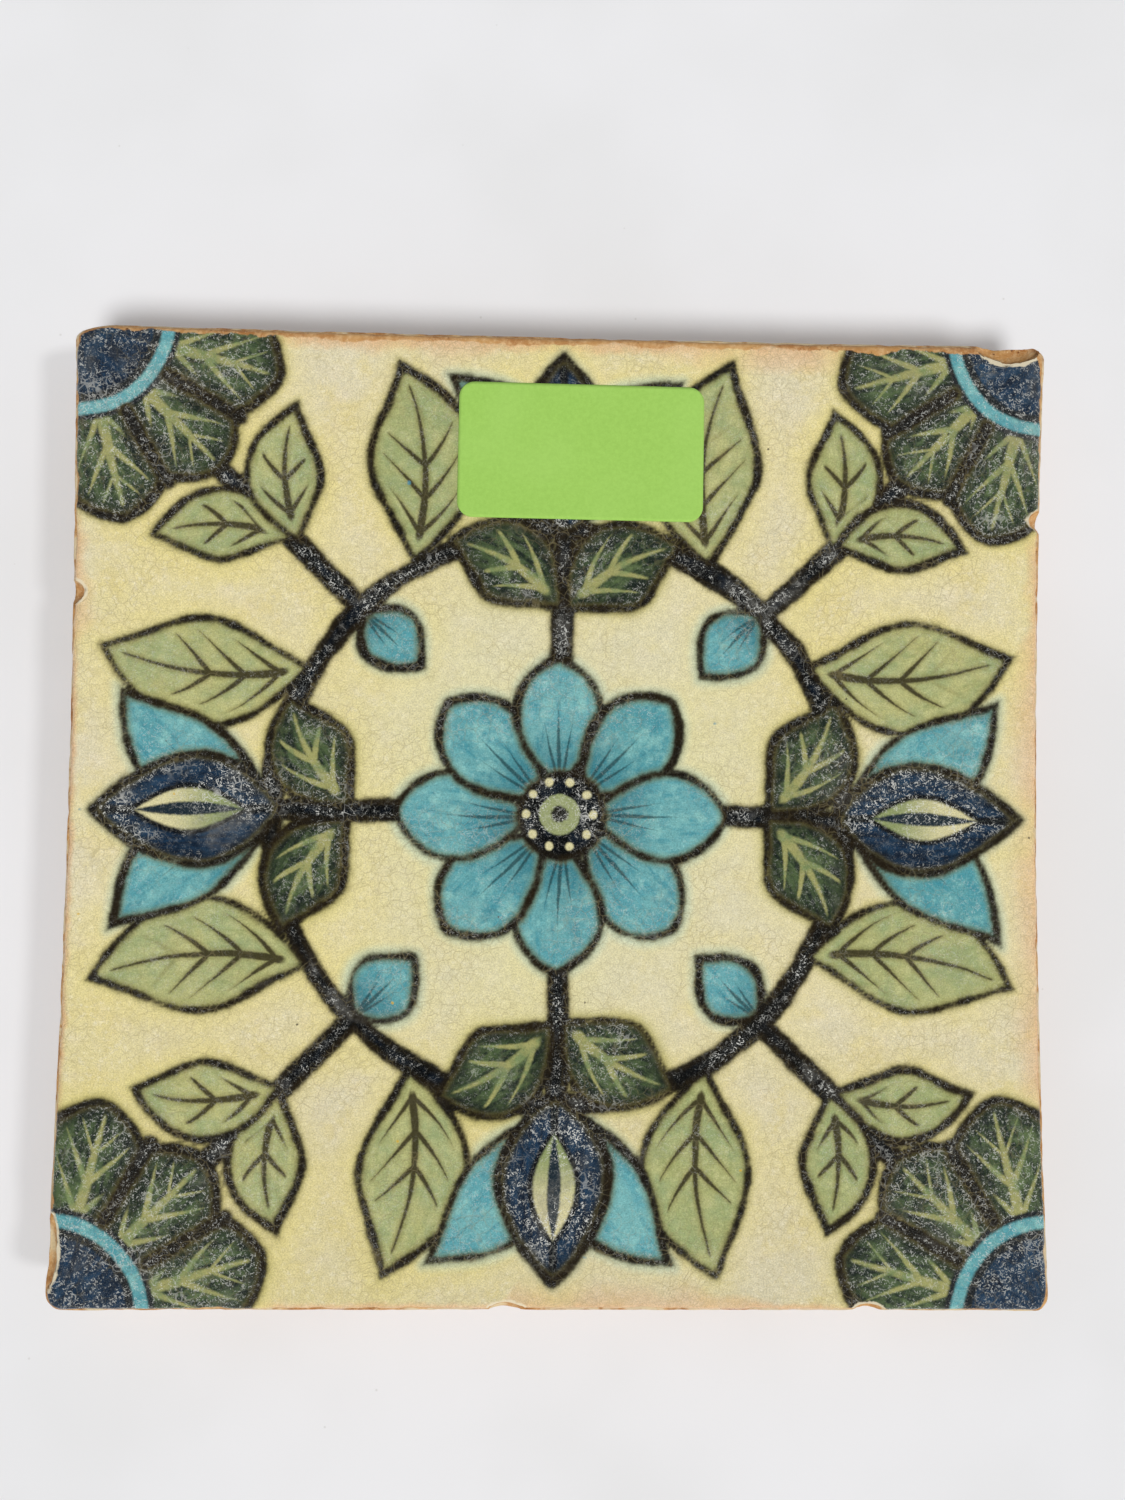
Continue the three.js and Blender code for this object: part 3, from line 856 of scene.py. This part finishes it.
    def cobalt_wash(self):
        return self.layered(
            "#0f1d2e",
            (self.brush, 0.35, 0.7, "#1c3852"),
            (self.cloud, 0.45, 0.7, 0, 0.5, "#2a4a64"),
            (self.blotch, 0.5, 0.7, 0, 0.5, "#0d1622"),
        )

    def cobalt(self):
        """The wash, with a pale flame down the middle of each heart."""
        start, length = FLAME["start"], FLAME["length"]
        run = self.linear(self.share, 1 / length, -start / length)
        swell = self.math("SINE", self.times(self.least(self.most(run, 0.0), 1.0), np.pi))
        lens, core = (
            self.plus(self.linear(swell, -FLAME[half], self.side), self.bleed)
            for half in ("half", "core")
        )
        flame = self.mix(self.fade(self.share, 0.3, 0.62), "#8e9a66", "#d8d0a0")
        return self.layered(
            self.cobalt_wash(),
            (self.depth["cobalt"], -2.0, 0, 0, 0.6, "#0b0f14"),
            (lens, 0.35, 0.95, 1, 0, "#0b0e12"),
            (lens, -0.5, 0.1, 1, 0, flame),
            (core, -0.25, 0.2, 1, 0, "#1c2a33"),
        )

    def eye(self, tone):
        """The rosette's centre: a ring of pale dots about a sage button."""
        x, y, _ = self.parts(self.warped(self.place, 3, 0.5))
        radius = self.length(x, y)
        turn = self.times(self.math("ARCTAN2", y, x), EYE["dots"] / (2 * np.pi))
        arc = self.times(self.math("PINGPONG", turn, 0.5), 2 * np.pi * EYE["ring"] / EYE["dots"])
        dots = self.length(arc, self.math("SUBTRACT", radius, EYE["ring"]))
        return self.layered(
            tone,
            (self.plus(dots, self.times(self.bleed, 0.7)), 0.45, 0.85, 1, 0, "#d6cf9f"),
            (self.plus(radius, self.bleed), 2.9, 3.3, 1, 0, "#98a070"),
            (self.plus(radius, self.bleed, self.bleed), 1.0, 1.5, 1, 0, "#24231d"),
        )

    def ink(self, tone):
        """An olive fringe first, then the line itself: brown where thin, blue-black where broad.

        Returns the tone and where the line is.
        """
        weight = self.linear(self.patches(8, 2), 0.4, -0.2)
        weight = self.plus(weight, self.fade(self.cloud, 0.25, 0.75, -0.16, 0.16))
        edge = self.plus(self.depth["ink"], self.bleed, weight)
        fringe = self.least(
            self.fade(self.depth["green"], -0.8, 0.4, 0.084, 0.42),
            self.fade(self.depth["cobalt"], -0.8, 0.4, 0.042, 0.42),
        )
        tone = self.layered(
            tone,
            (edge, -0.2, 1.0, fringe, 0, "#857a45"),
            (edge, -0.4, 0.45, 0.85, 0, "#2b2514"),
        )
        brown, blue = (self.broad, 0.5, 0.68, 0, 0.7, "#14120e"), (self.cloud, 0.45, 0.7, "#0d1824")
        broad = self.layered("#08090a", blue, brown)
        dark = self.layered(
            "#231c10", (self.blotch, 0.38, 0.62, "#17140f"), (edge, -1.5, -0.6, 1, 0, broad)
        )
        drawn = self.fade(edge, -0.5, 0.1, 1, 0)
        return self.mix(drawn, tone, dark), drawn

    def cracks(self, size, bend, amount, width, strong):
        """A net of fine cracks, as strong as is said on the crack."""
        gap = self.cells(self.warped(self.place, bend, amount), size, feature="DISTANCE_TO_EDGE")
        return self.fade(gap, *width, strong, 0)

    def wear(self, tone, inked):
        """Scuffs, pits and crazing, with painted glints, haze and sheen on the dark colours. Returns the
        tone, the glinting scuffs and the crazing.
        """
        dark = self.times(inked, self.fade(self.depth["ink"], -1.5, -0.6, 1, 0.26))
        dark = self.most(dark, 0.06)
        for name, share in (("green", 0.48), ("cobalt", 0.85), ("turquoise", 0.3), ("sage", 0.22)):
            dark = self.most(dark, self.fade(self.depth[name], -0.2, 0.3, share, 0))
        # The painted glints, haze and sheen come in patches, with more of them towards the corners
        patchy = self.plus(self.patches(13, 4, 0.6), self.fade(self.out, 60, 95, 0, 0.14))
        patchy = self.fade(patchy, 0.38, 0.64, 0.1, 1.1)
        bent = self.warped(self.place, 1.6, 1.0)
        flecks = self.most(*(self.strokes(bent, *fleck) for fleck in FLECKS))
        flecks = self.times(flecks, self.fade(self.patches(0.9, 2, 0.7), 0.45, 0.59))
        scattered = self.fade(self.patches(6, 3), 0.54, 0.66, 0, 0.6)
        network = self.cracks(1.5, 1.8, 0.9, (0.02, 0.06), scattered)
        # Scuff strokes and a fine crack net on the dark colours, painted pale as glints of light off
        # them
        pale = self.times(self.most(flecks, network), dark, patchy)
        # Painted haze: light scattered off the finely pitted glaze
        painted_haze = self.fade(self.patches(0.15, 1, 0.6), 0.52, 0.68, 0, 0.5)
        # Painted sheen of light over scuffed glaze
        scuffed_sheen = self.fade(self.patches(9, 4, 0.65), 0.54, 0.7, 0, 0.5)
        strong = self.fade(self.patches(12, 3), 0.4, 0.6, 0.1, 0.9)
        crazed = self.cracks(1.6, 2.0, 1.2, (0.01, 0.07), strong)
        tone = self.layered(
            tone,
            (self.times(painted_haze, dark, patchy), "#868a88"),
            (self.times(scuffed_sheen, dark, self.fade(self.grain, 0.35, 0.65, 0.4, 1)), "#7f7d76"),
            (self.times(pale, 0.95), "#e2e2db"),
            (self.times(crazed, self.math("SUBTRACT", 1.0, dark), 0.3), "#a3956a"),
        )
        return tone, pale, crazed

    def toothed(self, tone):
        """Fine grain and the glaze's soft leathery swells in every colour, as lighter and darker tone:
        painted shade and highlight of their relief.
        """
        # Fine grain, with painted highlight and shade of its tiny relief
        tooth = self.fade(self.patches(0.24, 2, 0.75), 0.25, 0.75, -0.2, 0.2)
        # Painted shade and highlight of the swells' relief
        swell = self.fade(self.patches(0.95, 2, 0.5), 0.3, 0.7, 0.95, 1.04)
        return self.scaled(tone, self.plus(tooth, swell))

    def specks(self, tone):
        for apart, radius, speck in SPECKS:
            spot = self.cells(self.warped(self.place, 1, 0.5), apart)
            tone = self.layered(tone, (spot, radius * 0.5, radius, 0.8, 0, speck))
        return tone

    def rim(self, tone):
        """Pale slip round the chips, and glaze that stops short of the edges.

        Returns the tone and the bare part.
        """
        broken = self.plus(self.attribute("flaw"), self.fade(self.cloud, 0.3, 0.7, -0.2, 0.3))
        edge = self.plus(
            self.attribute("edge"),
            self.fade(self.cloud, 0.25, 0.75, -0.35, 0.35),
            self.fade(self.blotch, 0.3, 0.7, -0.35, 0.35),
        )
        bare = self.fade(edge, 0.1, 0.4, 0.95, 0)
        slip, clay = (broken, 0.2, 0.5, 0.85, 0, "#e4d8ba"), (bare, clay_tone(self, self.place))
        return self.layered(tone, slip, clay), bare


def face_material():
    n = Glaze()
    tone = n.ground()
    for name in ("sage", "green", "turquoise", "cobalt"):
        tone = n.laid(tone, name, getattr(n, name)())
    tone, inked = n.ink(tone)
    tone = n.specks(n.toothed(n.eye(tone)))
    # Scuffs and crazing, with painted glints, haze and sheen
    tone, pale, crazed = n.wear(tone, inked)
    tone, bare = n.rim(tone)

    lumps = n.noise(n.place, 3.8, 2)
    grainy = n.fade(n.cells(n.place, 0.8), 0.0, 0.45)
    height = n.linear(n.fine, 0.22, n.times(grainy, 0.14))
    height = n.linear(crazed, -0.6, height)
    gloss = n.fade(n.noise(n.place, 5, 5, 0.7), 0.35, 0.7, 0.2, 0.36)
    gloss = n.most(gloss, n.times(bare, 0.85))
    return n.finish(
        Base_Color=tone,
        Roughness=n.plus(gloss, n.times(pale, 0.2)),
        Specular_IOR_Level=0.35,
        Normal=n.bump(height, 0.00007, 0.8, n.bump(lumps, 0.00022, 0.6)),
    )


def paper_material():
    n = Nodes("label paper")
    place = n.millimetres()
    tone = n.layered(
        "#9ac75c",
        (n.noise(place, 0.6, 5, 0.75), 0.3, 0.7, "#a4d064"),
        (n.noise(n.warped(place, 0.8, 0.8), 0.22, 2), 0.6, 0.75, 0, 0.35, "#93c155"),
        (n.noise(place, 15, 2), 0.4, 0.7, 0, 0.25, "#add771"),
    )
    return n.finish(
        Base_Color=tone,
        Roughness=0.86,
        Specular_IOR_Level=0.3,
        Normal=n.bump(n.noise(place, 0.25, 3, 0.7), 0.00003, 0.7),
    )


def table_material():
    n = Nodes("pale table")
    place = n.millimetres()
    tone = n.layered(
        "#ebebed",
        (n.noise(place, 60, 3), 0.35, 0.65, "#e6e6e7"),
        (n.cells(place, 9), 0.012, 0.03, 0.35, 0, "#b9b7b2"),
    )
    return n.finish(
        Base_Color=tone,
        Roughness=0.6,
        Specular_IOR_Level=0.2,
        Normal=n.bump(n.noise(place, 0.8, 3), 0.00005, 0.3),
    )


# Pieces

CLAY_TOP = 13.2
CLAY_ARRIS = 0.55
CLAY_MARGIN = 0.05
CLAY_LINES = 221
CLAY_NIBBLES = (0.3, 4.0, 500)

SHOULDER = 1.2
SKIRT = 0.2
FACE_FOOT = CLAY_TOP - 0.1
FACE_MARGIN = 0.42
FACE_LINES = 301
FACE_NIBBLES = (0.5, 4.0, 400)

# Margins of the clay's loops under the face, closer together towards the edge
HIDDEN_LOOPS = (7, 5.6, 4.6, 3.8, 3.1, 2.5, 2.0, 1.6, 1.25, 0.95, 0.72)

LABEL = {"width": 38.1, "height": 21.2, "corner": 2.4, "turn": -0.2, "glue": 0.03, "paper": 0.11}
LABEL_CELLS = (76, 42)


def face_height(x, y):
    """The glaze's top, gently uneven."""
    uneven = rough_noise(x, y, 26, 300) * 0.05 + rough_noise(x, y, 7, 310) * 0.018
    return FACE - 0.08 + uneven


def glazed_face():
    """The glaze's top as a fine net, closer towards the sides, and the skirt that it ends in."""
    lines = np.linspace(-1, 1, FACE_LINES)
    lines = lines + 0.075 * np.sin(np.pi * lines) / np.pi
    u, v = square(lines)
    x, y, inwards = slab_plan(u, v, FACE_MARGIN)
    x, y = nibbled(x, y, u, v, *FACE_NIBBLES)
    fall = np.clip(inwards / SHOULDER, 0, 1)
    rise = face_height(x, y) - FACE_FOOT
    z = FACE_FOOT + rise * (0.15 + 0.85 * np.sqrt(1 - (1 - fall) ** 2))
    fields = paint(x, y)
    wide = smoothstep(HEIGHT / 2 - 7, HEIGHT / 2 - 1, y) * (1 + 0.4 * rough_noise(x, 0 * x, 30, 410))
    band = wide * (1.25 + 0.6 * rough_noise(x, 0 * x, 5, 420)) - 0.2
    fields["edge"] = inwards - band
    fields["glow"] = inwards / (0.6 + 1.2 * wide)
    top, fields["flaw"] = strike_shell(np.stack([x, y, z], axis=1))

    border = grid_border(FACE_LINES, FACE_LINES)
    skirt = top[border].copy()
    skirt[:, 2] = FACE_FOOT - SKIRT
    points = np.concatenate([top, skirt])
    skirt_loop = np.arange(len(top), len(points))
    faces = [
        *grid_faces(FACE_LINES, FACE_LINES),
        *band_faces(skirt_loop, border),
        skirt_loop[::-1],
    ]
    attributes = {name: np.concatenate([values, values[border]]) for name, values in fields.items()}
    piece = make_mesh("glazed_face", points, faces, face_material(), attributes)
    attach(piece, "root")
    painted = [name for name, slot in SLOTS.items() if slot.endswith("_paint")]
    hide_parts("slip_coat", "clear_glaze", *painted)


def clay_rows():
    """Margin and height of each loop, from the hidden top's inner edge down to the back."""
    turn = np.radians(np.linspace(90, 0, 5))
    arris = [(CLAY_ARRIS * (1 - np.cos(bend)), CLAY_ARRIS * (1 - np.sin(bend))) for bend in turn]
    rows = [(margin, CLAY_TOP) for margin in HIDDEN_LOOPS]
    rows += [(margin, CLAY_TOP - drop) for margin, drop in arris]
    rows += [(0, z) for z in np.linspace(CLAY_TOP - CLAY_ARRIS, CLAY_ARRIS, 22)[1:]]
    return rows + arris[-2::-1]


def clay_body():
    """Loops round the slab from under its glaze to its back, and the back's net with its grooves."""
    u, v = square(np.linspace(-1, 1, CLAY_LINES))
    border = grid_border(CLAY_LINES, CLAY_LINES)
    edge_u, edge_v = u[border], v[border]
    loops = []
    for margin, level in clay_rows():
        x, y, _ = slab_plan(edge_u, edge_v, margin + CLAY_MARGIN)
        x, y = nibbled(x, y, edge_u, edge_v, *CLAY_NIBBLES)
        around = np.cumsum(np.hypot(np.diff(x, append=x[0]), np.diff(y, append=y[0])))
        pitted = 0.12 * np.clip(rough_noise(around, level * np.ones_like(x), 2.4, 520), 0, 1)
        if margin < CLAY_ARRIS:
            x = x - np.sign(edge_u) * (np.abs(edge_u) > 0.999) * pitted
            y = y - np.sign(edge_v) * (np.abs(edge_v) > 0.999) * pitted
        dip = 0.1 * (0.5 + 0.5 * rough_noise(x, y, 1.8, 530)) if level > CLAY_TOP - 1 else 0
        loops.append(np.stack([x, y, level - dip + 0 * x], axis=1))
    whole = np.concatenate(loops)
    ring = strike_solid(whole)
    moved = lengths(ring - whole)
    count = len(border)

    x, y, _ = slab_plan(u, v, clay_rows()[-1][0] + CLAY_MARGIN)
    x, y = nibbled(x, y, u, v, *CLAY_NIBBLES)
    beat = (x / KEY_PITCH + (KEY_COUNT - 1) / 2) % 1
    from_middle = np.minimum(beat, 1 - beat) * KEY_PITCH
    within = np.abs(x) < KEY_COUNT * KEY_PITCH / 2
    across = smoothstep(KEY_WIDTH / 2 + 0.5, KEY_WIDTH / 2 - 0.5, from_middle)
    lengthways = smoothstep(KEY_SHORT_OF_EDGE - 1, KEY_SHORT_OF_EDGE + 1, HEIGHT / 2 - np.abs(y))
    z = KEY_DEPTH * across * lengthways * within
    z = z + 0.05 * np.clip(0.5 + 0.5 * rough_noise(x, y, 3, 540), 0, 1)
    back = np.stack([x, y, z], axis=1)
    inner = np.ones(len(back), bool)
    inner[border] = False
    position = np.full(len(back), -1)
    position[border] = np.arange(len(ring) - count, len(ring))
    position[inner] = len(ring) + np.arange(inner.sum())
    points = np.concatenate([ring, back[inner]])

    faces = [np.arange(count)]
    for row in range(len(loops) - 1):
        first = np.arange(row * count, (row + 1) * count)
        faces.extend(band_faces(first + count, first))
    faces.extend(position[grid_faces(CLAY_LINES, CLAY_LINES)][:, ::-1])
    struck = np.clip(np.concatenate([moved, np.zeros(inner.sum())]) / 0.1, 0, 1)
    piece = make_mesh("clay_slab", points, faces, clay_material(), {"struck": struck})
    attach(piece, "root")
    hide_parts("clay_body")


def stock_label():
    low, high = (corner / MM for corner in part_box("label_paper"))
    centre = (low + high) / 2
    columns, rows = LABEL_CELLS
    u, v = np.meshgrid(np.linspace(-1, 1, columns + 1), np.linspace(-1, 1, rows + 1))
    corners = dict.fromkeys(CORNER_WEAR, (LABEL["corner"], LABEL["corner"]))
    x, y, _ = rounded(u.ravel(), v.ravel(), LABEL["width"] / 2, LABEL["height"] / 2, corners)
    plan = turned(np.stack([x, y], axis=1), LABEL["turn"]) + (centre.x, centre.y)
    under = face_height(plan[:, 0], plan[:, 1]) + LABEL["glue"]
    levels = np.concatenate([under, under + LABEL["paper"]])
    points = np.column_stack([np.tile(plan, (2, 1)), np.minimum(levels, high.z)])
    count = len(plan)
    border = grid_border(columns + 1, rows + 1)
    sheet = grid_faces(columns + 1, rows + 1)
    faces = [*sheet[:, ::-1], *(sheet + count), *band_faces(border, border + count)]
    piece = make_mesh("stock_label", points, faces, paper_material())
    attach(piece, "root")
    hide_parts("label_paper", "label_glue")


# Table, light and camera

# The room's light: dim, and dark overhead, where the Z of a direction goes from the first to the second
ROOM = (0.77, 0.93, 0.34, 0.02)
BACKDROP = 0.5

# Name, strength, width in degrees and where each lamp stands, seen from the tile
LAMPS = (
    ("key", 2.1, 17, (0.06, -0.66, 1)),
    ("side", 0.7, 8, (0.86, -0.12, 1)),
    ("ceiling", 0.12, 60, (0, 0, 1)),
)


def table():
    size = 4000
    corners = [(-size, -size, 0), (size, -size, 0), (size, size, 0), (-size, size, 0)]
    make_mesh("table", corners, [(0, 1, 2, 3)], table_material(), smooth=False)


def lights():
    """A key lamp beyond the lower edge, a small one at the right, a broad one above and a dim room."""
    n = Nodes("soft room", "worlds")
    direction = n.parts(n.add("TexCoord").outputs["Generated"])
    seen = n.add("LightPath").outputs["Is Camera Ray"]
    sky = n.tree.nodes["Background"].inputs
    n.put(sky["Strength"], n.linear(seen, BACKDROP, n.fade(direction[2], *ROOM)))
    n.put(sky["Color"], (1, 1, 1, 1))
    bpy.context.scene.world = n.made

    for name, energy, angle, heading in LAMPS:
        light = bpy.data.lights.new(name, "SUN")
        light.energy = energy
        light.angle = np.radians(angle)
        holder = add_object(name, light)
        holder.rotation_euler = Vector(heading).to_track_quat("Z", "Y").to_euler()
        holder.visible_glossy = False


def camera():
    data = bpy.data.cameras.new("phone")
    data.sensor_width = 36
    data.lens = FOCAL_PIXELS / PHOTO_HEIGHT * data.sensor_width
    data.clip_start = 0.01
    turn = Euler(np.radians(CAMERA_TURN), "XYZ").to_matrix().to_4x4()
    view = Matrix.Translation(Vector(CAMERA_OFFSET) * MM) @ turn
    holder = add_object("phone", data)
    holder.matrix_world = Matrix.Translation((0, 0, FACE * MM)) @ view.inverted()
    bpy.context.scene.camera = holder


SLOTS = {part["node"]: part["material_slot"] for part in frame["record"]["subparts"]}

camera()
lights()
table()
clay_body()
glazed_face()
stock_label()

bpy.context.scene.view_settings.view_transform = "Standard"
